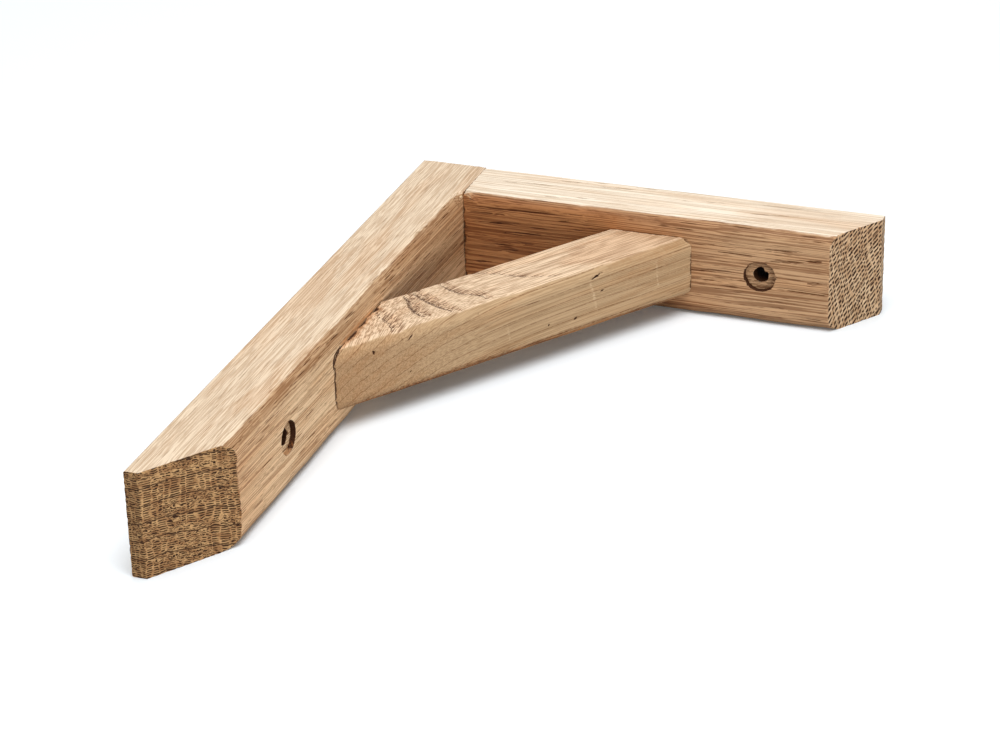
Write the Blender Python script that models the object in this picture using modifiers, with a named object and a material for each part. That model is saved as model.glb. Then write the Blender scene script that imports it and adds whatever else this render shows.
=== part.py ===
"""Oak shelf bracket, lying on its side: a long arm, a short arm butted against it, and a mitred brace.

Seen from above, the outer corner is at the back left. The long arm runs from it towards -Y and the
short arm towards +X. The origin is under the middle of the bracket's bounding box, with +Z up.
"""

import math

import bmesh
import bpy

MM = 0.001

# The arms, cut from one planed section whose outer arrises are only eased
ARM_WIDTH = 20 * MM
ARM_HEIGHT = 30 * MM
LONG_ARM_REACH = 205 * MM
SHORT_ARM_REACH = 142 * MM
NOSE_WIDTH = 4 * MM
SHORT_ARM_SET_BACK = 0.4 * MM
EASING = 0.6 * MM

# The brace, and the one saw angle of its mitres and of both arms' ends, measured from the long arm
BRACE_WIDTH = 20 * MM
BRACE_HEIGHT = 18.6 * MM
BRACE_ROUNDING = 3.5 * MM
BRACE_FOOT = 100 * MM
SAW_ANGLE = math.radians(35)

# The rounding of the inner arrises, run with a cutter whose guide bearing stops short of the corner
ARRIS_ROUNDING = 4 * MM
BEARING_RADIUS = 5 * MM

# The screw holes, drilled from the inner faces
SCREW_HOLE_DIAMETER = 4.6 * MM
COUNTERBORE_DIAMETER = 9.3 * MM
COUNTERBORE_DEPTH = 1.5 * MM

# Clearance between glued faces, and how far a cutter runs past the wood
JOINT_GAP = 0.3 * MM
OVERRUN = 2 * MM

# Fineness of round surfaces
ARC_STEPS = 7
HOLE_STEPS = 40
SMOOTH_BELOW = math.radians(30)
MERGE_DISTANCE = 0.001 * MM

# Colours of the three boards, bare and sanded
LONG_ARM_COLOUR = (0.56, 0.38, 0.23)
SHORT_ARM_COLOUR = (0.66, 0.49, 0.32)
BRACE_COLOUR = (0.60, 0.42, 0.26)
OAK_ROUGHNESS = 0.62

# Places worked out from the sizes above, measured from the outer corner
MID_HEIGHT = ARM_HEIGHT / 2
INNER_CORNER_Y = -ARM_WIDTH
MITRE_ON_LONG_ARM = (ARM_WIDTH - NOSE_WIDTH) / math.tan(SAW_ANGLE)
MITRE_ON_SHORT_ARM = (ARM_WIDTH - NOSE_WIDTH) * math.tan(SAW_ANGLE)
BRACE_FOOT_ON_SHORT_ARM = BRACE_FOOT * math.tan(SAW_ANGLE)
LONG_ARM_HOLE = (ARM_WIDTH + BRACE_FOOT + LONG_ARM_REACH - MITRE_ON_LONG_ARM) / 2
SHORT_ARM_HOLE = (ARM_WIDTH + BRACE_FOOT_ON_SHORT_ARM + SHORT_ARM_REACH - MITRE_ON_SHORT_ARM) / 2


def clear_scene():
    """Remove every object that the file opened with."""
    for thing in list(bpy.data.objects):
        bpy.data.objects.remove(thing, do_unlink=True)


def new_collection(name):
    """Return a new collection, linked to the scene."""
    collection = bpy.data.collections.new(name)
    bpy.context.scene.collection.children.link(collection)
    return collection


def oak(name, colour):
    """Return a plain oak material in one board's colour."""
    material = bpy.data.materials.new(name)
    material.use_nodes = True
    shader = material.node_tree.nodes["Principled BSDF"]
    shader.inputs["Base Color"].default_value = (*colour, 1)
    shader.inputs["Roughness"].default_value = OAK_ROUGHNESS
    shader.inputs["Metallic"].default_value = 0
    return material


def corner_arc(x, y, radius, start):
    """Return a quarter circle about (x, y) that begins at the angle start and turns left."""
    angles = [start + step / ARC_STEPS * math.pi / 2 for step in range(ARC_STEPS + 1)]
    return [(x + radius * math.cos(angle), y + radius * math.sin(angle)) for angle in angles]


def bar_section(width, height, back_radius, front_radius):
    """Return a centred rectangle with rounded corners, whose back is its -X side and front its +X side."""
    outline = []
    for side, (x_sign, y_sign) in enumerate([(1, 1), (-1, 1), (-1, -1), (1, -1)]):
        radius = front_radius if x_sign > 0 else back_radius
        x = x_sign * (width / 2 - radius)
        y = y_sign * (height / 2 - radius)
        outline += corner_arc(x, y, radius, side * math.pi / 2) if radius else [(x, y)]
    return outline


def flat_curve(name, points, closed):
    """Return a flat curve object through the points, not yet in any collection."""
    curve = bpy.data.curves.new(name, "CURVE")
    curve.dimensions = "2D"
    curve.fill_mode = "BOTH"
    spline = curve.splines.new("POLY")
    spline.use_cyclic_u = closed
    spline.points.add(len(points) - 1)
    for point, (x, y) in zip(spline.points, points):
        point.co = (x, y, 0, 1)
    return bpy.data.objects.new(name, curve)


def made_mesh(source, collection):
    """Turn a curve object into a closed mesh object of the same name and place."""
    collection.objects.link(source)
    bpy.context.view_layer.update()
    evaluated = source.evaluated_get(bpy.context.evaluated_depsgraph_get())
    mesh = bpy.data.meshes.new_from_object(evaluated)
    name = source.name
    bpy.data.objects.remove(source, do_unlink=True)
    shape = bmesh.new()
    shape.from_mesh(mesh)
    bmesh.ops.remove_doubles(shape, verts=shape.verts, dist=MERGE_DISTANCE)
    bmesh.ops.recalc_face_normals(shape, faces=shape.faces)
    shape.to_mesh(mesh)
    shape.free()
    thing = bpy.data.objects.new(name, mesh)
    collection.objects.link(thing)
    return thing


def extruded(name, outline, length, collection):
    """Return a bar of the given section, centred on its own origin and running along its Z."""
    bar = flat_curve(name, outline, closed=True)
    bar.data.extrude = length / 2
    return made_mesh(bar, collection)


def place(thing, parent, location, turn=(0, 0, 0)):
    """Set an object's place and turn in its parent's frame."""
    thing.parent = parent
    thing.location = location
    thing.rotation_euler = turn


def as_cutter(thing):
    """Show an object as a wire guide that is never rendered."""
    thing.display_type = "WIRE"
    thing.hide_render = True
    return thing


def box_cutter(name, size, collection):
    """Return a box of the given size, centred on its own origin."""
    mesh = bpy.data.meshes.new(name)
    shape = bmesh.new()
    bmesh.ops.create_cube(shape, size=1)
    bmesh.ops.scale(shape, vec=size, verts=shape.verts)
    shape.to_mesh(mesh)
    shape.free()
    thing = bpy.data.objects.new(name, mesh)
    collection.objects.link(thing)
    return as_cutter(thing)


def cut(piece, cutter, operation="DIFFERENCE"):
    """Add a live Boolean of the cutter to the piece."""
    modifier = piece.modifiers.new(cutter.name, "BOOLEAN")
    modifier.operation = operation
    modifier.solver = "EXACT"
    modifier.object = cutter


def saw_cut(name, corner, nose, collection):
    """Return the waste beyond an arm's slanted end, whose face passes through the nose point."""
    side = 2 * (ARM_WIDTH + OVERRUN) / min(math.cos(SAW_ANGLE), math.sin(SAW_ANGLE))
    waste = box_cutter(name, (side, side, ARM_HEIGHT + 2 * OVERRUN), collection)
    x = nose[0] + side / 2 * math.cos(SAW_ANGLE)
    y = nose[1] - side / 2 * math.sin(SAW_ANGLE)
    place(waste, corner, (x, y, MID_HEIGHT), (0, 0, -SAW_ANGLE))
    return waste


def rounding_cutter(name, corner, collection):
    """Return the sweep of a rounding cutter along both inner faces, above and below the arms.

    Its guide bearing rolls along the long arm, turns in the inner corner and leaves along the short arm.
    """
    turn_x = ARM_WIDTH + BEARING_RADIUS
    turn_y = INNER_CORNER_Y - BEARING_RADIUS
    path = [(ARM_WIDTH, -LONG_ARM_REACH - OVERRUN)]
    path += reversed(corner_arc(turn_x, turn_y, BEARING_RADIUS, math.pi / 2))
    path += [(SHORT_ARM_REACH + OVERRUN, INNER_CORNER_Y)]

    low = ARM_HEIGHT / 2 - ARRIS_ROUNDING
    high = ARM_HEIGHT / 2 + OVERRUN
    profile = [(OVERRUN, high), (OVERRUN, low)]
    profile += corner_arc(-ARRIS_ROUNDING, low, ARRIS_ROUNDING, 0)
    profile += [(-ARRIS_ROUNDING, high)]

    section = flat_curve(name + "_section", profile, closed=True)
    sweep = flat_curve(name, path, closed=False)
    sweep.data.bevel_mode = "OBJECT"
    sweep.data.bevel_object = section
    sweep.data.use_fill_caps = True
    cutter = made_mesh(sweep, collection)
    bpy.data.objects.remove(section, do_unlink=True)
    mirror = cutter.modifiers.new("below", "MIRROR")
    mirror.use_axis = (False, False, True)
    mirror.use_mirror_merge = False
    place(cutter, corner, (0, 0, MID_HEIGHT))
    return as_cutter(cutter)


def stepped_drill(name, corner, location, turn, collection):
    """Return a turned cutter for one screw hole, with its mouth at its own origin and its tip below."""
    wide = COUNTERBORE_DIAMETER / 2
    narrow = SCREW_HOLE_DIAMETER / 2
    profile = [
        (0, OVERRUN),
        (wide, OVERRUN),
        (wide, -COUNTERBORE_DEPTH),
        (narrow, -COUNTERBORE_DEPTH),
        (narrow, -ARM_WIDTH - OVERRUN),
        (0, -ARM_WIDTH - OVERRUN),
    ]
    mesh = bpy.data.meshes.new(name)
    edges = [(point, point + 1) for point in range(len(profile) - 1)]
    mesh.from_pydata([(x, 0, z) for x, z in profile], edges, [])
    drill = bpy.data.objects.new(name, mesh)
    collection.objects.link(drill)
    screw = drill.modifiers.new("turned", "SCREW")
    screw.steps = HOLE_STEPS
    screw.render_steps = HOLE_STEPS
    screw.use_merge_vertices = True
    screw.merge_threshold = MERGE_DISTANCE
    place(drill, corner, location, turn)
    return as_cutter(drill)


def finish(piece, material):
    """Apply a piece's cuts, shade its round surfaces smooth and give it its material."""
    bpy.context.view_layer.update()
    evaluated = piece.evaluated_get(bpy.context.evaluated_depsgraph_get())
    mesh = bpy.data.meshes.new_from_object(evaluated)
    mesh.name = piece.name
    piece.modifiers.clear()
    piece.data = mesh
    mesh.shade_smooth()
    mesh.set_sharp_from_angle(angle=SMOOTH_BELOW)
    mesh.materials.clear()
    mesh.materials.append(material)


def make_long_arm(corner, rounding, parts, cutters):
    """Make the arm that runs through to the outer corner."""
    section = bar_section(ARM_WIDTH, ARM_HEIGHT, EASING, 0)
    arm = extruded("long_arm", section, LONG_ARM_REACH, parts)
    place(arm, corner, (ARM_WIDTH / 2, -LONG_ARM_REACH / 2, MID_HEIGHT), (math.pi / 2, 0, 0))
    cut(arm, saw_cut("long_arm_saw_cut", corner, (NOSE_WIDTH, -LONG_ARM_REACH), cutters))
    cut(arm, rounding)
    mouth = (ARM_WIDTH, -LONG_ARM_HOLE, MID_HEIGHT)
    cut(arm, stepped_drill("long_arm_drill", corner, mouth, (0, math.pi / 2, 0), cutters))
    finish(arm, oak("long_arm_oak", LONG_ARM_COLOUR))


def make_short_arm(corner, rounding, parts, cutters):
    """Make the arm that is butted against the long arm's inner face."""
    section = bar_section(ARM_WIDTH - SHORT_ARM_SET_BACK, ARM_HEIGHT, EASING, 0)
    butt_end = ARM_WIDTH + JOINT_GAP
    arm = extruded("short_arm", section, SHORT_ARM_REACH - butt_end, parts)
    middle = ((SHORT_ARM_REACH + butt_end) / 2, -(ARM_WIDTH + SHORT_ARM_SET_BACK) / 2, MID_HEIGHT)
    place(arm, corner, middle, (math.pi / 2, 0, -math.pi / 2))
    cut(arm, saw_cut("short_arm_saw_cut", corner, (SHORT_ARM_REACH, -NOSE_WIDTH), cutters))
    cut(arm, rounding)
    mouth = (SHORT_ARM_HOLE, INNER_CORNER_Y, MID_HEIGHT)
    cut(arm, stepped_drill("short_arm_drill", corner, mouth, (math.pi / 2, 0, 0), cutters))
    finish(arm, oak("short_arm_oak", SHORT_ARM_COLOUR))


def make_brace(corner, parts, cutters):
    """Make the brace, mitred to both inner faces by the room that they leave.

    The side that faces the inner corner keeps its eased arrises and the other side is rounded.
    """
    foot_to_foot = BRACE_FOOT / math.cos(SAW_ANGLE)
    mitre_spare = BRACE_WIDTH / math.tan(SAW_ANGLE) + BRACE_WIDTH * math.tan(SAW_ANGLE)
    length = foot_to_foot + mitre_spare
    section = bar_section(BRACE_WIDTH, BRACE_HEIGHT, EASING, BRACE_ROUNDING)
    brace = extruded("brace", section, length, parts)
    x = ARM_WIDTH + BRACE_FOOT_ON_SHORT_ARM / 2 - BRACE_WIDTH / 2 * math.cos(SAW_ANGLE)
    y = INNER_CORNER_Y - BRACE_FOOT / 2 + BRACE_WIDTH / 2 * math.sin(SAW_ANGLE)
    place(brace, corner, (x, y, MID_HEIGHT), (math.pi / 2, 0, -SAW_ANGLE))

    span = length + BRACE_WIDTH
    room = box_cutter("room_between_arms", (span, span, BRACE_HEIGHT + 2 * OVERRUN), cutters)
    inside = JOINT_GAP + span / 2
    place(room, corner, (ARM_WIDTH + inside, INNER_CORNER_Y - inside, MID_HEIGHT))
    cut(brace, room, "INTERSECT")
    finish(brace, oak("brace_oak", BRACE_COLOUR))


def make_bracket():
    """Build the three pieces around an empty at the outer corner."""
    clear_scene()
    parts = new_collection("shelf_bracket")
    cutters = new_collection("cutters")
    corner = bpy.data.objects.new("outer_corner", None)
    corner.location = (-SHORT_ARM_REACH / 2, LONG_ARM_REACH / 2, 0)
    parts.objects.link(corner)
    rounding = rounding_cutter("inner_arris_rounding", corner, cutters)
    make_long_arm(corner, rounding, parts, cutters)
    make_short_arm(corner, rounding, parts, cutters)
    make_brace(corner, parts, cutters)


make_bracket()
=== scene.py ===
import math

import bmesh
import bpy
import numpy as np
from mathutils import Matrix, Vector, noise


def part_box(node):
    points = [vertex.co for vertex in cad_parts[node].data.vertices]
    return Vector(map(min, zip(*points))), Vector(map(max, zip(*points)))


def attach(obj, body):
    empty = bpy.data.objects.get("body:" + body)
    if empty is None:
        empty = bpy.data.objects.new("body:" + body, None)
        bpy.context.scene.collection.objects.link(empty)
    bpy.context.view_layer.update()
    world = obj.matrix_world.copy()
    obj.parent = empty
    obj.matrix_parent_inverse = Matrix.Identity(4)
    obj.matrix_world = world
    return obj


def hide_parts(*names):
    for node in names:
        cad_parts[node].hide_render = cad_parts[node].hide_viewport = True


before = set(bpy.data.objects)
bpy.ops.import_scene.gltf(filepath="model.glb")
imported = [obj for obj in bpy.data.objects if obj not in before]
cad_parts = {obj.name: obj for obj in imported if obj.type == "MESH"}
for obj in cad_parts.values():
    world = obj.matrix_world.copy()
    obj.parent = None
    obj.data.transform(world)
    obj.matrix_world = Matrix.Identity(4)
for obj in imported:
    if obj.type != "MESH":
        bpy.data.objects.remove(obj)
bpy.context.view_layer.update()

# The long arm: one planed oak bar, 20 by 30 mm, that runs through to the outer corner. Its inner
# arrises are rounded over with a hand-held cutter, its far end is sawn on a slant, and one screw
# hole with a counterbore is drilled from the inner side.
MM = 0.001
ALONG_THE_GRAIN = 1.0 * MM
ACROSS_THE_GRAIN = 0.45 * MM
WELD = 0.001 * MM
SLIVER = 0.05 * MM
FLAT_WITHIN = math.radians(0.2)
SHARP_FROM = math.radians(32)
CUT_ACROSS = 0.3

BORE_RADIUS = 4.65 * MM
BORE_DEPTH = 1.5 * MM
SCREW_RADIUS = 2.3 * MM
CHIP_SPREAD = 0.3
TORN_FLOOR = 0.12 * MM
RAGGED_MOUTH = 0.08
FLOOR_STREAKS = 0.4
WALL_BURN_AND_SHADE = 1.3

ARRIS_RADIUS = 4.0 * MM
ARRIS_UNEVEN = 0.7 * MM
CALM_UP_TO = 6 * MM
UNEVEN_FROM = 14 * MM
SANDED_WAVE = 0.05 * MM
GRAIN_FURROW = 0.025 * MM
SAWN_ROUGHNESS = 0.06 * MM
END_NICK = 0.25 * MM
SIDE_NICK = 0.18 * MM


def rise_between(value, low, high):
    """Return 0 below low, 1 above high and a smooth rise between."""
    share = np.clip((value - low) / (high - low), 0, 1)
    return share * share * (3 - 2 * share)


class Board:
    """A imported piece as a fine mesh, laid along Y with its inner side towards +X while it is worked."""

    def __init__(self, node, turn, along=ALONG_THE_GRAIN, across=ACROSS_THE_GRAIN, close_ups=()):
        """Copy a piece, lay it along Y, and cut its faces into small ones, finer near the close-ups."""
        self.node = node
        self.lay = Matrix.Rotation(turn, 4, "Z")
        self.shape = bmesh.new()
        self.shape.from_mesh(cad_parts[node].data)
        self.shape.transform(self.lay)
        bmesh.ops.remove_doubles(self.shape, verts=self.shape.verts, dist=WELD)
        bmesh.ops.dissolve_limit(
            self.shape, angle_limit=FLAT_WITHIN, verts=self.shape.verts, edges=self.shape.edges
        )
        self.cut_up(2, across)
        self.cut_up(0, across)
        self.cut_up(1, along)
        bmesh.ops.remove_doubles(self.shape, verts=self.shape.verts, dist=SLIVER)
        for centre, reach in close_ups:
            self.refine(Vector([part * MM for part in centre]), reach * MM)
        self.mesh = bpy.data.meshes.new(node + "_oak_bar")
        self.shape.to_mesh(self.mesh)
        self.shape.free()
        self.points = np.empty(len(self.mesh.vertices) * 3)
        self.mesh.vertices.foreach_get("co", self.points)
        self.points = self.points.reshape(-1, 3)
        self.side, self.end = self.facings()
        self.marks = {name: np.zeros(len(self.points)) for name in ("stain", "streak", "grime")}

    def cut_up(self, axis, step):
        """Cut every face along evenly spaced planes square to an axis."""
        direction = Vector((0, 0, 0))
        direction[axis] = 1
        reach = [vert.co[axis] for vert in self.shape.verts]
        low, high = min(reach), max(reach)
        count = max(1, round((high - low) / step))
        ahead = list(self.shape.faces)
        for place in (low + (high - low) * part / count for part in range(1, count)):
            edges = list({edge for face in ahead for edge in face.edges})
            verts = list({vert for face in ahead for vert in face.verts})
            cut = bmesh.ops.bisect_plane(
                self.shape,
                geom=ahead + edges + verts,
                plane_co=direction * place,
                plane_no=direction,
                dist=WELD,
            )
            faces = [part for part in cut["geom"] if isinstance(part, bmesh.types.BMFace)]
            ahead = [face for face in faces if max(vert.co[axis] for vert in face.verts) > place + WELD]

    def refine(self, centre, reach):
        """Split the edges around a point once more."""
        near = {vert for vert in self.shape.verts if (vert.co - centre).length < reach}
        edges = [edge for edge in self.shape.edges if edge.verts[0] in near and edge.verts[1] in near]
        bmesh.ops.subdivide_edges(self.shape, edges=edges, cuts=1, use_grid_fill=True)

    def facings(self):
        """Return each point's outward direction on the long sides and on the cut ends, or zero."""
        areas = np.empty(len(self.mesh.polygons))
        self.mesh.polygons.foreach_get("area", areas)
        normals = np.empty(len(self.mesh.polygons) * 3)
        self.mesh.polygons.foreach_get("normal", normals)
        normals = normals.reshape(-1, 3)
        sizes = np.empty(len(self.mesh.polygons), int)
        self.mesh.polygons.foreach_get("loop_total", sizes)
        corners = np.empty(len(self.mesh.loops), int)
        self.mesh.loops.foreach_get("vertex_index", corners)
        owners = np.repeat(np.arange(len(sizes)), sizes)
        on_end = np.abs(normals[:, 1]) > CUT_ACROSS
        found = []
        for chosen in (~on_end, on_end):
            total = np.zeros((len(self.mesh.vertices), 3))
            used = chosen[owners]
            np.add.at(total, corners[used], (normals * areas[:, None])[owners[used]])
            size = np.linalg.norm(total, axis=1, keepdims=True)
            found.append(np.divide(total, size, out=np.zeros_like(total), where=size > 0))
        return found

    def lumps(self, sizes, seed, chosen=slice(None)):
        """Return a smooth random number from about -1 to 1 at each point, with lumps of these sizes."""
        scaled = self.points[chosen] / np.array(sizes) + seed * 17.3
        return np.array([noise.noise(Vector(point)) for point in scaled.tolist()])

    def shift(self, move):
        """Move points, sliding those of a cut end along the board so that they stay in its plane."""
        lean = self.end[:, 1]
        off_plane = (move * self.end).sum(1)
        slide = np.divide(off_plane, lean, out=np.zeros(len(move)), where=np.abs(lean) > CUT_ACROSS)
        move[:, 1] -= slide
        self.points += move

    def bore(self, along, seed, shaded_towards, burn_and_shade, chips):
        """Roughen a counterbore, burn its wall and brown it with painted shade, most on one side, darken its
        screw hole as burnt wood and painted shade, and chip the mouth of its screw hole.
        """
        inner_face = self.points[:, 0].max()
        height = self.points[:, 2].max() / 2
        depth = inner_face - self.points[:, 0]
        spread = self.points[:, 1:] - (along * MM, height)
        radius = np.hypot(spread[:, 0], spread[:, 1])
        below_faces = (depth > SLIVER) & (depth < np.ptp(self.points[:, 0]) - SLIVER)
        inside = (radius < BORE_RADIUS + SLIVER) & below_faces
        self.side[inside] = 0
        self.end[inside] = 0
        on_floor = inside & (np.abs(depth - BORE_DEPTH) < SLIVER)
        torn = self.lumps((0.9 * MM, 0.9 * MM, 0.9 * MM), seed)
        self.points[:, 0] += np.where(on_floor & (radius < BORE_RADIUS - SLIVER), TORN_FLOOR * torn, 0)
        mouth = on_floor & (radius < SCREW_RADIUS + SLIVER)
        ragged = 1 + RAGGED_MOUTH * self.lumps((0.7 * MM, 0.7 * MM, 0.7 * MM), seed + 1)
        bearing = np.arctan2(spread[:, 1], spread[:, 0])
        for angle, size in chips:
            off = np.angle(np.exp(1j * (bearing - math.radians(angle))))
            ragged += size * np.exp(-((off / CHIP_SPREAD) ** 2))
        for axis in (0, 1):
            self.points[:, 1 + axis] += np.where(mouth, spread[:, axis] * (ragged - 1), 0)
        wall = (np.abs(radius - BORE_RADIUS) < SLIVER) & (depth < BORE_DEPTH + SLIVER)
        # Painted shade in the counterbore: on top of the burnt wood the wall is darkest towards its shaded
        # side and browned all round, and the screw hole below is dark throughout, partly burnt wood and
        # partly painted shade.
        burn_and_shade *= np.maximum(0.55 + 0.55 * np.cos(bearing - math.radians(shaded_towards)), 0.25)
        self.marks["streak"][on_floor] = FLOOR_STREAKS
        self.marks["grime"][wall & inside] = WALL_BURN_AND_SHADE
        self.marks["stain"][wall] = burn_and_shade[wall]
        self.marks["stain"][inside & (depth > BORE_DEPTH + SLIVER)] = 1

    def round_over(self, radius, uneven, seed, stop=None, way=1):
        """Let the inner arrises' rounding wander in size; it is left alone near and past the stop."""
        inner_face = self.points[:, 0].max()
        bottom, top = self.points[:, 2].min(), self.points[:, 2].max()
        depth = inner_face - self.points[:, 0]
        lower = self.points[:, 2] < (bottom + top) / 2
        rise = np.where(lower, self.points[:, 2] - bottom, top - self.points[:, 2])
        free = np.ones(len(self.points))
        if stop is not None:
            free = rise_between((self.points[:, 1] - stop * MM) * way, CALM_UP_TO, UNEVEN_FROM)
        along_only = (1e3, 16 * MM, 8 * MM)
        short_only = (1e3, 4.5 * MM, 8 * MM)
        change = self.lumps(along_only, seed) + 0.4 * self.lumps(short_only, seed + 1)
        local = radius + uneven * change * free
        inward = np.stack([local - depth, local - rise], axis=1)
        reach = np.maximum(np.hypot(inward[:, 0], inward[:, 1]), SLIVER)
        rounded = (inward > 0).all(axis=1)
        out_by = np.where(rounded, reach - local, -np.minimum(depth, rise))
        flat_way = np.where((depth < rise)[:, None], [1.0, 0.0], [0.0, 1.0])
        way_in = np.where(rounded[:, None], inward / reach[:, None], flat_way)
        near = (depth < radius * 1.5) & (rise < radius * 1.5) & self.side.any(axis=1) & (free > 0)
        step = np.where(near, out_by, 0.0)[:, None] * way_in
        move = np.zeros_like(self.points)
        move[:, 0] = -step[:, 0]
        move[:, 2] = np.where(lower, 1, -1) * step[:, 1]
        self.shift(move)

    def sand(self, seed):
        """Give the long sides the soft unevenness of hand sanding and the furrows of the grain."""
        height = SANDED_WAVE * self.lumps((8 * MM, 35 * MM, 8 * MM), seed)
        height += GRAIN_FURROW * self.lumps((0.9 * MM, 9 * MM, 0.9 * MM), seed + 1)
        self.shift(self.side * height[:, None])

    def saw(self, seed):
        """Leave the cut ends rough and their edges slightly broken."""
        height = SAWN_ROUGHNESS * self.lumps((1.1 * MM, 3 * MM, 0.7 * MM), seed)
        edge = self.side.any(axis=1) & self.end.any(axis=1)
        nick = np.maximum(self.lumps((1.3 * MM, 1.3 * MM, 1.3 * MM), seed + 1), 0)
        self.points += self.end * (height - np.where(edge, END_NICK * nick, 0))[:, None]
        self.points -= self.side * np.where(edge, SIDE_NICK * nick, 0)[:, None]

    def score(self, line, half_width, depth, seed, **marks):
        """Press a ragged crack, pit or scratch into the surface along a line, and mark it; sizes in mm."""
        nearest = np.full(len(self.points), np.inf)
        passed = np.zeros(len(self.points))
        for number, (start, stop) in enumerate(zip(line, line[1:])):
            start, way = np.array(start) * MM, (np.array(stop) - start) * MM
            share = np.clip((self.points - start) @ way / (way @ way), 0, 1)
            away = np.linalg.norm(self.points - start - share[:, None] * way, axis=1)
            passed = np.where(away < nearest, (number + share) / (len(line) - 1), passed)
            nearest = np.minimum(nearest, away)
        near = np.flatnonzero(nearest < 2 * half_width * MM)
        taper = np.sqrt(np.maximum(1 - (2 * passed[near] - 1) ** 2, 0.12))
        ragged = 1 + 0.6 * self.lumps((0.8 * MM, 0.8 * MM, 0.8 * MM), seed, near)
        press = 1 - rise_between(nearest[near] / (half_width * MM * taper * ragged), 0.25, 1.0)
        self.points[near] -= self.side[near] * (depth * MM * press)[:, None]
        for name, amount in marks.items():
            made = amount * press
            held = self.marks[name][near]
            self.marks[name][near] = np.where(np.abs(made) > np.abs(held), made, held)

    def darken_inside(self, start, stop, amount):
        """Darken the inner side from a start, in mm along the board, fading to nothing at a stop."""
        share = rise_between(self.points[:, 1] / MM, min(start, stop), max(start, stop))
        if stop < start:
            share = 1 - share
        side = rise_between(self.side[:, 0], 0.3, 0.9)
        uneven = 1 + 0.25 * self.lumps((3 * MM, 12 * MM, 3 * MM), 77)
        self.marks["grime"] += amount * (1 - share) * side * uneven

    def fill_joint(self, chosen, most, seed):
        """Push a glued end out here and there, so that the joint is a thin ragged line."""
        lean = self.end[:, 1]
        swell = most * rise_between(self.lumps((2.2 * MM, 2.2 * MM, 2.2 * MM), seed), -0.45, 0.2)
        step = np.divide(swell, lean, out=np.zeros(len(lean)), where=np.abs(lean) > CUT_ACROSS)
        self.points[:, 1] += np.where(chosen, step, 0)

    def finish(self, material):
        """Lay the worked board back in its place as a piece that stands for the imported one."""
        self.mesh.vertices.foreach_set("co", self.points.ravel())
        for name, amounts in self.marks.items():
            made = self.mesh.attributes.new(name, "FLOAT", "POINT")
            made.data.foreach_set("value", amounts)
        self.mesh.transform(self.lay.inverted())
        self.mesh.shade_smooth()
        self.mesh.set_sharp_from_angle(angle=SHARP_FROM)
        self.mesh.materials.append(material)
        piece = bpy.data.objects.new(self.mesh.name, self.mesh)
        bpy.context.scene.collection.objects.link(piece)
        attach(piece, "root")
        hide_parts(self.node)


def add(tree, kind, *inputs, **settings):
    """Add a shader node, fill its inputs in order with links or values, and return it."""
    made = tree.nodes.new("ShaderNode" + kind)
    for name, value in settings.items():
        setattr(made, name, value)
    sockets = [socket for socket in made.inputs if socket.enabled]
    for socket, value in zip(sockets, inputs):
        if isinstance(value, bpy.types.NodeSocket):
            tree.links.new(value, socket)
        elif value is not None:
            socket.default_value = value
    return made


def result(made):
    """Return a node's first output in use."""
    return next(socket for socket in made.outputs if socket.enabled)


def maths(tree, operation, *inputs, **settings):
    """Return the result of a new Math node."""
    return result(add(tree, "Math", *inputs, operation=operation, **settings))


def vector_maths(tree, operation, *inputs):
    """Return the result of a new Vector Math node, a number for lengths and products."""
    return result(add(tree, "VectorMath", *inputs, operation=operation))


def ramp(tree, value, low, high, start=0.0, end=1.0):
    """Return a smooth change from start at low to end at high."""
    return result(add(tree, "MapRange", value, low, high, start, end, interpolation_type="SMOOTHSTEP"))


def mix(tree, share, first, second, mode="MIX"):
    """Return two colours mixed by a share."""
    return result(add(tree, "Mix", share, first, second, data_type="RGBA", blend_type=mode))


def streaks(tree, growth, sizes, detail=3.0):
    """Return noise from 0 to 1 whose lumps have these sizes out from the pith, along and around it."""
    return result(add(tree, "TexNoise", vector_maths(tree, "DIVIDE", growth, sizes), 1.0, detail, 0.6))


def seen(red, green, blue):
    """Return a colour as a screen shows it, 0 to 255, as the shader's linear colour."""
    return (*(((part / 255 + 0.055) / 1.055) ** 2.4 for part in (red, green, blue)), 1)


def shader_group(name, inputs, outputs):
    """Return a new node group with its end nodes' sockets; a start value gives each socket its kind."""
    group = bpy.data.node_groups.new(name, "ShaderNodeTree")
    kinds = {float: "NodeSocketFloat", tuple: "NodeSocketVector"}
    for socket, value in inputs.items():
        made = group.interface.new_socket(name=socket, in_out="INPUT", socket_type=kinds[type(value)])
        made.default_value = value
    for socket, value in outputs.items():
        group.interface.new_socket(name=socket, in_out="OUTPUT", socket_type=kinds[type(value)])
    return group, group.nodes.new("NodeGroupInput").outputs, group.nodes.new("NodeGroupOutput").inputs


def place_group(tree, group, **values):
    """Place a node group in a material and return its outputs; an input's name has _ for a space."""
    made = tree.nodes.new("ShaderNodeGroup")
    made.node_tree = group
    for name, value in values.items():
        socket = made.inputs[name.replace("_", " ")]
        if isinstance(value, bpy.types.NodeSocket):
            tree.links.new(value, socket)
        else:
            socket.default_value = value
    return made.outputs


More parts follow.
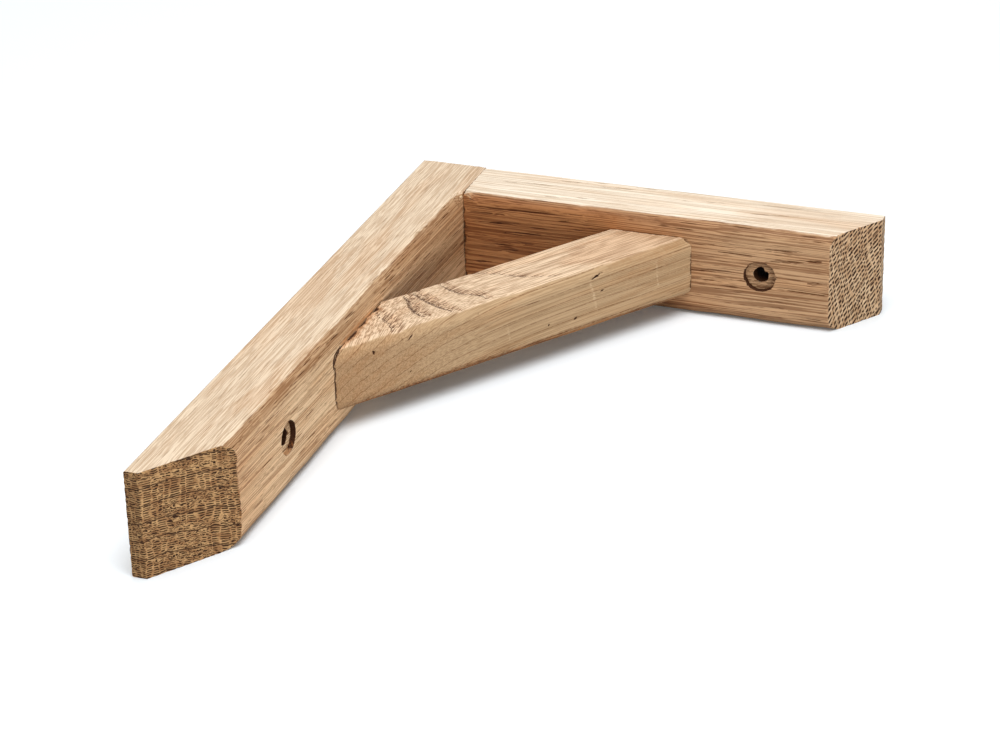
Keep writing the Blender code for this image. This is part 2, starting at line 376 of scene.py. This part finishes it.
# Where a point of the board lay in the tree, in millimetres: across, along and up the board. The
# grain leans out of the board, and before a knot beside it, it sweeps round the knot and rises.
grain_place, given, out = shader_group(
    "grain_place", {"Turn": 0.0, "Lean": 0.0, "Rise": 0.0, "Knot": (-500.0, -500.0, 0.0)}, {"Place": ()}
)
here = add(grain_place, "TexCoord").outputs["Object"]
turned = result(add(grain_place, "VectorRotate", here, None, given["Turn"], rotation_type="Z_AXIS"))
turned = vector_maths(grain_place, "MULTIPLY", turned, (1000, 1000, 1000))
parts = add(grain_place, "SeparateXYZ", turned).outputs
knot = add(grain_place, "SeparateXYZ", given["Knot"]).outputs
before = maths(grain_place, "SUBTRACT", parts["Y"], knot["Y"])
before = maths(grain_place, "SMOOTH_MIN", before, 0.0, 30.0)
beside = maths(grain_place, "SUBTRACT", parts["X"], knot["X"])
swept = vector_maths(grain_place, "LENGTH", result(add(grain_place, "CombineXYZ", beside, before, 0.0)))
across = maths(grain_place, "ADD", swept, knot["X"])
height = maths(grain_place, "MULTIPLY_ADD", given["Rise"], before, parts["Z"])
height = maths(grain_place, "MULTIPLY_ADD", given["Lean"], parts["Y"], height)
place = result(add(grain_place, "CombineXYZ", across, parts["Y"], height))
waves = vector_maths(grain_place, "MULTIPLY", place, (0.09, 0.02, 0.09))
waves = add(grain_place, "TexNoise", waves, 1.0, 2.0).outputs["Color"]
sway = vector_maths(grain_place, "SUBTRACT", waves, (0.5, 0.5, 0.5))
sway = vector_maths(grain_place, "MULTIPLY", sway, (1, 0, 1))
grain_place.links.new(vector_maths(grain_place, "ADD", place, sway), out["Place"])

# The year rings around the pith: how far out a point lies, how far along and round, which share of
# its ring it has passed, and a shade that each ring has to itself.
year_rings, given, out = shader_group(
    "year_rings",
    {"Place": (0.0, 0.0, 0.0), "Pith": (0.0, 0.0, 0.0), "Ring Width": 3.0},
    {"Growth": (), "Phase": 0.0, "Shade": 0.0},
)
from_pith = vector_maths(year_rings, "SUBTRACT", given["Place"], given["Pith"])
parts = add(year_rings, "SeparateXYZ", from_pith).outputs
outward = result(add(year_rings, "CombineXYZ", parts["X"], 0.0, parts["Z"]))
radius = vector_maths(year_rings, "LENGTH", outward)
around = maths(year_rings, "MULTIPLY", maths(year_rings, "ARCTAN2", parts["X"], parts["Z"]), radius)
growth = result(add(year_rings, "CombineXYZ", radius, parts["Y"], around))
year_rings.links.new(growth, out["Growth"])
uneven = streaks(year_rings, growth, (50.0, 100.0, 6.0))
years = maths(year_rings, "DIVIDE", radius, given["Ring Width"])
years = maths(year_rings, "MULTIPLY_ADD", uneven, 0.9, years)
year_rings.links.new(maths(year_rings, "FRACT", years), out["Phase"])
number = maths(year_rings, "FLOOR", years)
own_shade = add(year_rings, "TexWhiteNoise", number, noise_dimensions="1D").outputs["Value"]
year_rings.links.new(own_shade, out["Shade"])

# Vessels: long thin tubes along the grain, cut open wherever the wood is cut.
vessels, given, out = shader_group(
    "vessels",
    {"Growth": (0.0, 0.0, 0.0), "Spacing": (0.5, 8.0, 0.9), "Width": 0.4, "Blur": 0.5},
    {"Mask": 0.0},
)
cells = vector_maths(vessels, "DIVIDE", given["Growth"], given["Spacing"])
nearest = add(vessels, "TexVoronoi", cells, 1.0)
inside = maths(vessels, "MULTIPLY", given["Width"], given["Blur"])
drop = ramp(vessels, nearest.outputs["Distance"], inside, given["Width"], 1.0, 0.0)
each = add(vessels, "SeparateXYZ", nearest.outputs["Color"]).outputs["X"]
vessels.links.new(maths(vessels, "MULTIPLY", drop, ramp(vessels, each, 0.2, 0.6)), out["Mask"])

# End grain as sawn: the open vessels lie in short dark dashes along the rings, stacked between the
# pale rays that run out from the pith.
end_dashes, given, out = shader_group(
    "end_dashes",
    {"Growth": (0.0, 0.0, 0.0), "Row Height": 0.75, "Ray Spacing": 1.9, "Disorder": 2.0},
    {"Mask": 0.0},
)
wobble = vector_maths(end_dashes, "DIVIDE", given["Growth"], (0.9, 40.0, 0.9))
wobble = add(end_dashes, "TexNoise", wobble, 1.0, 2.0).outputs["Color"]
wobble = vector_maths(end_dashes, "SUBTRACT", wobble, (0.5, 0.5, 0.5))
wobble = add(end_dashes, "SeparateXYZ", wobble).outputs
patches = streaks(end_dashes, given["Growth"], (4.0, 40.0, 5.0), 1.0)
here_and_there = ramp(end_dashes, patches, 0.38, 0.62, 0.3, 1.6)
amount = maths(end_dashes, "MULTIPLY", given["Disorder"], here_and_there)
parts = add(end_dashes, "SeparateXYZ", given["Growth"]).outputs
drift = streaks(end_dashes, given["Growth"], (12.0, 40.0, 3.0), 1.0)
across = maths(end_dashes, "DIVIDE", parts["Z"], given["Ray Spacing"])
across = maths(end_dashes, "MULTIPLY_ADD", drift, 2.5, across)
across = maths(end_dashes, "ADD", across, maths(end_dashes, "MULTIPLY", wobble["X"], amount))
column = maths(end_dashes, "FLOOR", across)
jump = add(end_dashes, "TexWhiteNoise", column, noise_dimensions="1D").outputs["Value"]
outward = maths(end_dashes, "DIVIDE", parts["X"], given["Row Height"])
outward = maths(end_dashes, "ADD", outward, jump)
outward = maths(end_dashes, "ADD", outward, maths(end_dashes, "MULTIPLY", wobble["Y"], amount))
cell = result(add(end_dashes, "CombineXYZ", column, maths(end_dashes, "FLOOR", outward), 0.0))
chance = add(end_dashes, "TexWhiteNoise", cell, noise_dimensions="2D").outputs["Value"]
mask = maths(end_dashes, "MULTIPLY_ADD", chance, 0.4, 0.8)
for spot, inner, outer in ((outward, 0.16, 0.36), (across, 0.30, 0.46)):
    passed = maths(end_dashes, "FRACT", spot)
    off_middle = maths(end_dashes, "ABSOLUTE", maths(end_dashes, "SUBTRACT", passed, 0.5))
    mask = maths(end_dashes, "MULTIPLY", mask, ramp(end_dashes, off_middle, inner, outer, 1.0, 0.0))
end_dashes.links.new(mask, out["Mask"])

# Which way a face was worked: sanded flat on top and underneath, rounded over, or cut across the
# board's length. The flat faces' edge wavers, because the sander rode over the arrises by hand.
faces, given, out = shader_group(
    "faces", {"Length": (0.0, 1.0, 0.0), "Waver": 0.0}, {"Flat": 0.0, "Arris": 0.0, "Cut Across": 0.0}
)
facing = add(faces, "NewGeometry").outputs["Normal"]
upright = maths(faces, "ABSOLUTE", add(faces, "SeparateXYZ", facing).outputs["Z"])
flat = ramp(faces, maths(faces, "ADD", upright, given["Waver"]), 0.84, 0.93)
faces.links.new(flat, out["Flat"])
rounded = maths(faces, "MULTIPLY", ramp(faces, upright, 0.08, 0.45), maths(faces, "SUBTRACT", 1.0, flat))
faces.links.new(rounded, out["Arris"])
lengthwise = maths(faces, "ABSOLUTE", vector_maths(faces, "DOT_PRODUCT", facing, given["Length"]))
faces.links.new(ramp(faces, lengthwise, 0.3, 0.5), out["Cut Across"])


def mark(tree, name):
    """Return the strength of a mark that was made on the board."""
    return add(tree, "Attribute", attribute_name=name).outputs["Fac"]


def bare_oak(name, turn, grain, rings, flat, side, end, amounts, dashes):
    """Return a bare sanded oak; flat, side and end are its pale and its brown wood as each was worked, with
    painted light in flat and side: the flat faces' pair is paler and whiter as a painted sheen, the sides'
    pair browner as painted shade.
    """
    material = bpy.data.materials.new(name)
    material.use_nodes = True
    tree = material.node_tree
    place = place_group(tree, grain_place, Turn=turn, **grain)["Place"]
    years = place_group(tree, year_rings, Place=place, **rings)
    growth = years["Growth"]
    early = ramp(tree, years["Phase"], 0.0, 0.3, 1.0, 0.0)
    fibre = streaks(tree, growth, (amounts["fibre"], 60.0, 1.1 * amounts["fibre"]), 1.0)
    fine_lines = ramp(tree, fibre, 0.40, 0.60)
    strands = ramp(tree, streaks(tree, growth, (0.7, 110.0, 1.1), 2.0), 0.36, 0.64)
    cloud = streaks(tree, growth, (4.0, 45.0, 7.0), 2.0)

    tone = maths(tree, "MULTIPLY_ADD", fine_lines, amounts["lines"], 0.2 - amounts["lines"] / 2)
    tone = maths(tree, "MULTIPLY_ADD", strands, 0.05, tone)
    tone = maths(tree, "MULTIPLY_ADD", ramp(tree, cloud, 0.34, 0.66), 0.16, tone)
    tone = maths(tree, "MULTIPLY_ADD", years["Shade"], 0.15, tone, use_clamp=True)
    large = {"Spacing": (0.75, 16.0, 0.95), "Width": 0.22, "Blur": 0.6}
    small = {"Spacing": (0.4, 5.0, 0.5), "Width": 0.34, "Blur": 0.3}
    pore = place_group(tree, vessels, Growth=growth, **large)["Mask"]
    pore = maths(tree, "MULTIPLY", pore, maths(tree, "MULTIPLY_ADD", early, 0.4, amounts["pores"]))
    fine_pore = place_group(tree, vessels, Growth=growth, **small)["Mask"]
    pore = maths(tree, "MULTIPLY_ADD", fine_pore, 0.6 * amounts["pores"], pore, use_clamp=True)

    waver = streaks(tree, growth, (5.0, 14.0, 5.0), 4.0)
    waver = maths(tree, "MULTIPLY_ADD", waver, 0.3, -0.15)
    length = (math.sin(turn), math.cos(turn), 0)
    worked = place_group(tree, faces, Length=length, Waver=waver)
    pore = maths(tree, "MULTIPLY", pore, maths(tree, "MULTIPLY_ADD", worked["Flat"], -0.65, 1.0))
    # Painted light in part: flat faces take the paler, whiter pair as a painted sheen, the sides the browner
    # pair as painted shade.
    wood = mix(tree, worked["Flat"], mix(tree, tone, *side), mix(tree, tone, *flat))
    blush = maths(tree, "MULTIPLY", ramp(tree, cloud, 0.48, 0.66), 0.6)
    wood = mix(tree, blush, wood, (0.97, 0.88, 0.80, 1), "MULTIPLY")
    # The rounded arrises are browned: partly the wood's own tan, partly painted shade where they turn away
    # from the overhead light.
    arris_tan_and_shade = maths(tree, "MULTIPLY", worked["Arris"], amounts["arris_tan_and_shade"])
    wood = mix(tree, arris_tan_and_shade, wood, (0.60, 0.54, 0.49, 1), "MULTIPLY")
    dots = ramp(tree, streaks(tree, growth, (0.5, 1.3, 0.9), 1.0), 0.36, 0.54, 0.4, 1.0)
    ring_line = maths(tree, "MULTIPLY", ramp(tree, years["Phase"], 0.04, 0.12, 1.0, 0.0), dots)
    ring_line = maths(tree, "MULTIPLY", ring_line, amounts["rings"])
    ring_line = maths(tree, "MULTIPLY", ring_line, maths(tree, "MULTIPLY_ADD", worked["Flat"], -0.75, 1.0))
    wood = mix(tree, ring_line, wood, (0.42, 0.31, 0.22, 1), "MULTIPLY")
    wood = mix(tree, pore, wood, (0.34, 0.24, 0.17, 1), "MULTIPLY")

    ring_edge = ramp(tree, years["Phase"], 0.03, 0.09, 0.9, 0.0)
    open_ends = place_group(tree, end_dashes, Growth=growth, **dashes)["Mask"]
    open_ends = maths(tree, "MAXIMUM", open_ends, ring_edge)
    end_wood = mix(tree, ramp(tree, streaks(tree, growth, (1.5, 20.0, 2.2)), 0.35, 0.65), *end)
    end_wood = mix(tree, open_ends, end_wood, seen(54, 29, 10))
    wood = mix(tree, worked["Cut Across"], wood, end_wood)

    # The grime mark browns the wood: grime and a browner tone in places, and painted shade in the inner
    # corners, along the joints' creases and on the counterbore walls.
    wood = mix(tree, mark(tree, "grime"), wood, (0.78, 0.56, 0.39, 1), "MULTIPLY")
    split = maths(tree, "MULTIPLY", mark(tree, "streak"), ramp(tree, fibre, 0.46, 0.56), use_clamp=True)
    wood = mix(tree, split, wood, (0.36, 0.26, 0.18, 1), "MULTIPLY")
    torn = maths(tree, "MULTIPLY_ADD", streaks(tree, growth, (0.5, 1.5, 0.5)), 0.8, -0.4)
    # The stain mark darkens the wood: stains, burns, dark joints and cracks, and painted shade down the screw
    # holes and on the counterbore walls' shaded side; below zero it lightens pale scratches and torn fibre.
    stain = mark(tree, "stain")
    dark = ramp(tree, maths(tree, "ADD", stain, torn), 0.3, 0.75)
    wood = mix(tree, dark, wood, seen(66, 36, 16))
    scratch = ramp(tree, maths(tree, "MULTIPLY_ADD", stain, -1.0, torn), 0.25, 0.8)
    wood = mix(tree, scratch, wood, seen(220, 194, 158))

    hollow = maths(tree, "MULTIPLY_ADD", fine_lines, 0.35, pore)
    hollow = maths(tree, "MAXIMUM", hollow, maths(tree, "MULTIPLY", open_ends, worked["Cut Across"]))
    hollow = maths(tree, "MAXIMUM", hollow, split)
    bump = add(tree, "Bump")
    bump.inputs["Strength"].default_value = 0.8
    bump.inputs["Distance"].default_value = 0.15 * MM
    tree.links.new(maths(tree, "MULTIPLY", hollow, -1.0), bump.inputs["Height"])

    shader = tree.nodes["Principled BSDF"]
    tree.links.new(wood, shader.inputs["Base Color"])
    roughness = maths(tree, "MULTIPLY_ADD", pore, 0.25, 0.6, use_clamp=True)
    tree.links.new(roughness, shader.inputs["Roughness"])
    shader.inputs["Specular IOR Level"].default_value = 0.2
    tree.links.new(bump.outputs[0], shader.inputs["Normal"])
    return material


# Places on a laid board are in millimetres from here on: across it, along it and up.
LONG_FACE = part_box("long_arm")[1].x / MM
LONG_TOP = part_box("long_arm")[1].z / MM
SHORT_FACE = -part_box("short_arm")[0].y / MM
LONG_ARM_HOLE = -48.57
HOLE_CLOSE_UP = 6.5

long_arm = Board("long_arm", 0.0, close_ups=[
    ((LONG_FACE, LONG_ARM_HOLE, LONG_TOP / 2), HOLE_CLOSE_UP),
    ((LONG_FACE, -16, 22), 5),
])
# Its counterbore has burnt walls with painted shade, darkest towards the shaded side, and painted shade down
# the screw hole.
long_arm.bore(
    LONG_ARM_HOLE, seed=31, shaded_towards=20, burn_and_shade=0.8, chips=[(80, 0.12), (-70, 0.15), (0, 0.5), (180, 0.5)]
)
long_arm.round_over(ARRIS_RADIUS, ARRIS_UNEVEN, seed=1, stop=-SHORT_FACE, way=-1)
long_arm.sand(3)
long_arm.saw(5)
# The inner side darkens towards the inner corner: partly the wood's richer colour, partly painted shade where
# the corner lies in shade.
long_arm.darken_inside(60, -10, 0.45)
# It also darkens towards its near end.
long_arm.darken_inside(-100, -40, 0.55)
# The glue line in the inner corner, and pale torn fibre at the end of the rounding.
long_arm.score([(LONG_FACE, 82.2, 0.5), (LONG_FACE, 82.2, 29.5)], 0.6, 0.1, 6, stain=0.8)
long_arm.score([(LONG_FACE - 0.3, 80.5, LONG_TOP), (LONG_FACE, 82.0, 28.5)], 0.7, 0.1, 7, stain=-0.7)
# The dark gap where the brace's end meets it, widest at the brace's upper arris.
gap_around_arris = ((-17.8, 19), (-17.3, 22.2), (-16, 23.6), (-12, 24.5))
long_arm.score([(LONG_FACE, -17.8, 6), (LONG_FACE, -17.8, 19.5)], 0.4, 0.0, 8, stain=0.9)
long_arm.score([(LONG_FACE, along, up) for along, up in gap_around_arris], 0.6, 0.0, 9, stain=1.3)
# A brown band along the top of the brace's joint: a dark joint line, with grime and painted shade in the
# crease.
long_arm.score([(LONG_FACE, -12, 24.6), (LONG_FACE, 14, 24.6)], 1.3, 0.0, 10, stain=0.3, grime=0.8)
long_arm.finish(bare_oak(
    "long_arm_oak",
    turn=0.0,
    grain={"Lean": 0.02},
    rings={"Pith": (-72, 0, -44), "Ring_Width": 5.0},
    flat=(seen(228, 207, 180), seen(186, 156, 125)),
    side=(seen(235, 203, 163), seen(166, 125, 87)),
    end=(seen(206, 163, 112), seen(160, 116, 74)),
    amounts={"fibre": 0.22, "lines": 0.8, "pores": 1.25, "arris_tan_and_shade": 0.95, "rings": 0.3},
    dashes={"Row_Height": 0.62, "Ray_Spacing": 1.3, "Disorder": 2.0},
))

# The short arm: a second oak bar of the same section, butted against the long arm's inner face and
# glued. It has the same rounded arrises, sawn end and screw hole, and open grain lines that show as
# long dark streaks.
SHORT_ARM_TURN = math.pi / 2
SHORT_ARM_HOLE = 39.41
SHORT_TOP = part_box("short_arm")[1].z / MM
GLUE_SWELL = 0.22 * MM
INNER_GRAIN_LINES = (
    ((-50, 25.6), (-31, 26.2), (-7, 27.6)),
    ((-50, 24.0), (-37, 24.8)), ((-48, 20.9), (-33, 22.3)), ((-44, 14.1), (-29, 16.4)),
    ((-38, 18.8), (-27, 19.4)), ((-50, 7.6), (-42, 9.2)), ((-22, 24.4), (-12, 26.0)),
    ((-40, 12.6), (-34, 13.4)), ((26, 23.2), (35, 23.8)), ((18, 11.3), (35, 13.0)),
    ((43, 12.0), (51, 11.8), (60, 11.4)),
    ((35, 4.8), (48, 5.6)), ((53, 14.5), (60, 15.5)), ((19, 14.4), (31, 15.4)),
    ((27, 21.1), (38, 21.3)), ((41, 19.8), (57, 22.0)), ((39, 23.4), (51, 24.3)),
    ((46, 3.4), (59, 3.4)),
)
TOP_GRAIN_LINES = (
    ((-101.2, -3), (-100.8, 3)), ((-95.4, 13), (-97.3, 25)), ((-84.4, 23), (-87.6, 42)),
    ((-93.9, -43), (-95.4, -25)), ((-86.7, -28), (-89.6, -11)), ((-97.9, -17), (-99.3, -2)),
    ((-98.8, 35), (-99.7, 55)), ((-91.6, 31), (-93.8, 48)), ((-98.9, -26), (-101.0, -12)),
)

short_arm = Board(
    "short_arm", SHORT_ARM_TURN, close_ups=[((SHORT_FACE, SHORT_ARM_HOLE, SHORT_TOP / 2), HOLE_CLOSE_UP)]
)
# Its counterbore has burnt walls with painted shade, darkest towards the shaded side, and painted shade down
# the screw hole.
short_arm.bore(
    SHORT_ARM_HOLE, seed=33, shaded_towards=225, burn_and_shade=1.3, chips=[(95, 0.2), (50, -0.3), (200, 0.08)]
)
short_arm.round_over(ARRIS_RADIUS, ARRIS_UNEVEN, seed=11, stop=LONG_FACE)
short_arm.sand(13)
short_arm.saw(15)
short_arm.fill_joint(short_arm.points[:, 1] < -50 * MM, GLUE_SWELL, 16)
# Its inner side darkens towards the long arm: partly the wood's richer colour, partly painted shade in the
# corner behind the brace.
short_arm.darken_inside(-20, 40, 1.15)
# The dark corner of its rounding and the glue line below it.
short_arm.score([(SHORT_FACE - 0.2, -50.7, SHORT_TOP), (SHORT_FACE, -45.5, 28.4)], 1.0, 0.15, 17, stain=0.9)
short_arm.score([(SHORT_FACE, -50.6, 0.5), (SHORT_FACE, -50.6, 29)], 0.6, 0.1, 18, stain=0.7)
for number, line in enumerate(INNER_GRAIN_LINES):
    path = [(SHORT_FACE, along, up) for along, up in line]
    short_arm.score(path, 0.6, 0.12, 40 + number, streak=1.2)
for number, line in enumerate(TOP_GRAIN_LINES):
    path = [(across, along, SHORT_TOP) for across, along in line]
    short_arm.score(path, 0.5, 0.1, 70 + number, streak=0.8)
# The top is a little browner towards the free end.
short_arm.score([(-92, 32, SHORT_TOP), (-92, 78, SHORT_TOP)], 13, 0.0, 101, grime=0.22)
short_arm.finish(bare_oak(
    "short_arm_oak",
    turn=SHORT_ARM_TURN,
    grain={},
    rings={"Pith": (-160, 0, -48), "Ring_Width": 2.6},
    flat=(seen(243, 229, 209), seen(196, 170, 140)),
    side=(seen(208, 168, 128), seen(144, 104, 72)),
    end=(seen(224, 192, 154), seen(188, 150, 112)),
    amounts={"fibre": 0.3, "lines": 0.9, "pores": 0.9, "arris_tan_and_shade": 0.35, "rings": 0.3},
    dashes={"Row_Height": 1.1, "Ray_Spacing": 1.5, "Disorder": 0.7},
))

# The brace: a lower oak bar, mitred at both ends and glued to the arms' inner faces at half height.
# Its grain sweeps round a knot at one end, where the year rings cross its top as bands of open pores.
BRACE_TURN = math.radians(35)
BRACE_RADIUS = 3.5 * MM
BRACE_UNEVEN = 0.4 * MM
BRACE_FOOT, BRACE_FAR_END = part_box("brace")
BRACE_TOP = BRACE_FAR_END.z / MM
BRACE_FRONT = (Matrix.Rotation(BRACE_TURN, 3, "Z") @ BRACE_FOOT).x / MM
BRACE_GLUE_SWELL = 0.24 * MM

brace = Board(
    "brace", BRACE_TURN, along=0.5 * MM, across=0.36 * MM,
    close_ups=[((BRACE_FRONT, 48, 23.5), 5), ((BRACE_FRONT, -30.7, 21), 2.5)],
)
brace.round_over(BRACE_RADIUS, BRACE_UNEVEN, seed=21)
brace.sand(23)
brace.saw(25)
brace.fill_joint(brace.end.any(axis=1), BRACE_GLUE_SWELL, 26)
# Darker along its inner side towards its end at the long arm.
brace.darken_inside(-42, 0, 0.35)
# Bands of open pores on its top, each a dark line with brown strokes beyond it: the places that it
# runs through, across and along the brace, its width, its depth and its strength.
GRAIN_BANDS = (
    (((-46.8, -20.0), (-43.9, -20.5), (-39.1, -20.9), (-35.7, -21.9), (-32.7, -23.4)), 2.4, 0.15, 0.55),
    (((-51.9, -7.9), (-47.4, -8.8), (-43.7, -10.6), (-40.2, -11.5), (-36.5, -11.2)), 2.5, 0.3, 0.75),
    (
        ((-53.2, -5.0), (-47.9, -5.0), (-44.4, -4.9), (-40.5, -4.3), (-37.6, -3.9), (-34.1, -2.7)),
        2.5, 0.3, 0.75,
    ),
    (
        ((-52.9, 4.3), (-49.6, 4.0), (-45.9, 4.3), (-42.4, 5.4), (-40.3, 7.5), (-38.0, 8.8), (-35.1, 9.2)),
        2.0, 0.15, 0.65,
    ),
    (((-54.5, 11.6), (-48.4, 19.3), (-40.9, 25.4), (-35.5, 33.0)), 2.0, 0.08, 0.4),
)
for number, (line, width, depth, streak) in enumerate(GRAIN_BANDS):
    path = [(across, along, BRACE_TOP) for across, along in line]
    beyond = [(across, along + 0.8 * width, BRACE_TOP) for across, along in line]
    brace.score(beyond, width, depth, 80 + number, streak=1.2 * streak, grime=0.4 * streak)
    brace.score(path, 1.1, 1.5 * depth, 90 + number, stain=0.75 * streak, streak=1.5)
# Dark stains along its joint with the long arm, each with a brown halo that is partly grime and partly
# painted shade in the joint's crease.
JOINT_STAINS = (
    (((-49.3, -18.0), (-47.5, -20.2)), 1.5, 0.8),
    (((-44.3, -25.2), (-42.6, -27.6)), 1.3, 0.7),
    (((-40.6, -30.4), (-37.0, -35.4)), 1.5, 0.75),
    (((-50.5, -16.8), (-33.2, -41.3)), 1.2, 0.25),
)
for number, (line, half_width, stain) in enumerate(JOINT_STAINS):
    path = [(across, along, BRACE_TOP) for across, along in line]
    brace.score(path, half_width, 0.15, 95 + number, stain=stain)
    brace.score(path, 2 * half_width, 0.0, 100 + number, grime=0.8)
# The dark gaps at its ends, burnt wood on its lower front arris, and a browner top at its far end.
END_GAPS = (
    (((-31.8, -43.3, 6.5), (-31.8, -43.3, 20.5)), 0.5, 1.0),
    (((-31.8, -43.3, 20.5), (-32.0, -43.0, 22.2), (-32.8, -41.9, 23.3), (-35.2, -38.5, 24.3)), 0.55, 1.3),
    (((-31.8, 78.2, 6.0), (-31.8, 78.2, 20.5), (-32.8, 77.5, 23.3), (-35.2, 75.8, 24.3)), 0.5, 1.0),
    (((-35.2, 75.8, 24.3), (-50.0, 65.4, 24.3)), 0.4, 0.8),
)
for number, (line, half_width, stain) in enumerate(END_GAPS):
    brace.score(line, half_width, 0.0, 110 + number, stain=stain)
lower_arris = [(BRACE_FRONT - 0.6, -43, 6.6), (BRACE_FRONT - 0.6, 79, 6.6)]
brace.score(lower_arris, 2.4, 0.0, 99, streak=0.9, grime=1.0)
brace.score([(-41, 42, BRACE_TOP), (-41, 82, BRACE_TOP)], 15, 0.0, 104, grime=0.35)
# Cracks, pits and a slit in its front, then soft pale scratches: places along the brace and up it,
# half the width, the depth and how dark it is.
FRONT_MARKS = (
    (((54.1, 24.2), (52.6, 24.4), (47.6, 23.3), (45.5, 22.4), (42.9, 21.6)), 0.65, 0.7, 1.5),
    (((53.4, 25.2), (54.6, 25.6)), 0.6, 0.3, 1.0),
    (((33.0, 24.4), (29.6, 23.0)), 1.0, 0.35, 1.2),
    (((-31.0, 21.6), (-30.4, 20.3)), 0.45, 0.4, 1.3),
    (((-19.1, 11.7), (-18.7, 11.7)), 0.5, 0.3, 1.2),
    (((46.0, 17.1), (46.8, 17.3)), 0.5, 0.3, 1.2),
    (((36.4, 11.1), (37.4, 11.4)), 0.5, 0.3, 1.2),
    (((27.2, 11.8), (28.0, 12.0)), 0.45, 0.3, 1.2),
    (((-15.8, 24.0), (-19.5, 21.4)), 0.8, 0.15, 0.85),
    (((-6.6, 24.8), (-9.2, 22.2)), 0.8, 0.15, 1.0),
    (((-5.0, 24.8), (-7.2, 22.9)), 0.6, 0.15, 0.7),
    (((6.2, 24.2), (3.3, 22.0)), 0.8, 0.15, 0.9),
    (((65.7, 21.8), (66.0, 14.9), (66.6, 12.1)), 0.8, 0.05, -0.45),
    (((41.8, 21.9), (42.9, 18.5), (44.5, 11.2)), 0.9, 0.05, -0.45),
    (((13.3, 16.4), (14.2, 11.0)), 0.8, 0.05, -0.4),
    (((58.8, 17.0), (57.6, 13.2)), 0.7, 0.05, -0.35),
)
for number, (line, half_width, depth, stain) in enumerate(FRONT_MARKS):
    path = [(BRACE_FRONT, along, up) for along, up in line]
    brace.score(path, half_width, depth, 120 + number, stain=stain)
brace.finish(bare_oak(
    "brace_oak",
    turn=BRACE_TURN,
    grain={"Lean": -0.03, "Rise": -0.18, "Knot": (8.0, 5.0, 0.0)},
    rings={"Pith": (40, 0, -44), "Ring_Width": 3.1},
    flat=(seen(228, 200, 168), seen(160, 126, 93)),
    side=(seen(192, 161, 124), seen(164, 133, 97)),
    end=(seen(190, 152, 112), seen(140, 100, 66)),
    amounts={"fibre": 0.27, "lines": 0.9, "pores": 0.3, "arris_tan_and_shade": 0.0, "rings": 0.7},
    dashes={"Row_Height": 0.9, "Ray_Spacing": 1.5},
))

# The picture: the bracket lies on a plain white floor under soft studio light, seen by a camera at
# the photograph's angle. The camera sees the floor brighter than the floor lights the wood.
FOCAL_PIXELS = 3036.5
PICTURE_WIDTH = 1000
SENSOR_WIDTH = 36.0
CAMERA_PLACE = Vector((0.2446, -0.6829, 0.3832))
CAMERA_AIM = Vector((-0.0107, 0.0017, 0.0150))
CAMERA_ROLL = math.radians(-1.513)

camera_data = bpy.data.cameras.new("camera")
camera_data.sensor_width = SENSOR_WIDTH
camera_data.lens = FOCAL_PIXELS * SENSOR_WIDTH / PICTURE_WIDTH
camera = bpy.data.objects.new("camera", camera_data)
camera.location = CAMERA_PLACE
facing = (CAMERA_AIM - CAMERA_PLACE).to_track_quat("-Z", "Y").to_matrix()
camera.rotation_euler = (facing @ Matrix.Rotation(CAMERA_ROLL, 3, "Z")).to_euler()
bpy.context.scene.collection.objects.link(camera)
bpy.context.scene.camera = camera

FLOOR_REACH = 3
FLOOR_AS_LIT = (0.55, 0.55, 0.55, 1)
FLOOR_AS_SEEN = (0.92, 0.97, 1.01, 1)

floor_mesh = bpy.data.meshes.new("floor")
shape = bmesh.new()
bmesh.ops.create_grid(shape, x_segments=1, y_segments=1, size=FLOOR_REACH)
shape.to_mesh(floor_mesh)
shape.free()
floor = bpy.data.objects.new("floor", floor_mesh)
bpy.context.scene.collection.objects.link(floor)
white = bpy.data.materials.new("white_floor")
white.use_nodes = True
tree = white.node_tree
tree.nodes.remove(tree.nodes["Principled BSDF"])
plain = add(tree, "BsdfDiffuse", FLOOR_AS_LIT)
bright = add(tree, "BsdfDiffuse", FLOOR_AS_SEEN)
picture = add(tree, "LightPath").outputs["Is Camera Ray"]
both = add(tree, "MixShader", picture, plain.outputs[0], bright.outputs[0])
tree.links.new(both.outputs[0], tree.nodes["Material Output"].inputs["Surface"])
floor_mesh.materials.append(white)

world = bpy.data.worlds.new("studio")
bpy.context.scene.world = world
world.use_nodes = True
world.node_tree.nodes["Background"].inputs["Color"].default_value = (1, 1, 1, 1)
world.node_tree.nodes["Background"].inputs["Strength"].default_value = 0.22


def soft_lamp(name, place, width, height, power):
    """Hang a soft rectangular lamp that faces the bracket."""
    data = bpy.data.lights.new(name, "AREA")
    data.shape = "RECTANGLE"
    data.size = width
    data.size_y = height
    data.energy = power
    lamp = bpy.data.objects.new(name, data)
    lamp.location = place
    lamp.rotation_euler = (-Vector(place)).to_track_quat("-Z", "Y").to_euler()
    bpy.context.scene.collection.objects.link(lamp)


soft_lamp("overhead", (0.08, -0.2, 0.88), 0.7, 0.7, 8.4)
soft_lamp("behind", (-0.35, 0.9, 0.75), 1.0, 0.5, 4.4)
soft_lamp("right", (1.0, -0.45, 0.16), 0.6, 0.3, 4.8)
bpy.context.scene.view_settings.view_transform = "Standard"
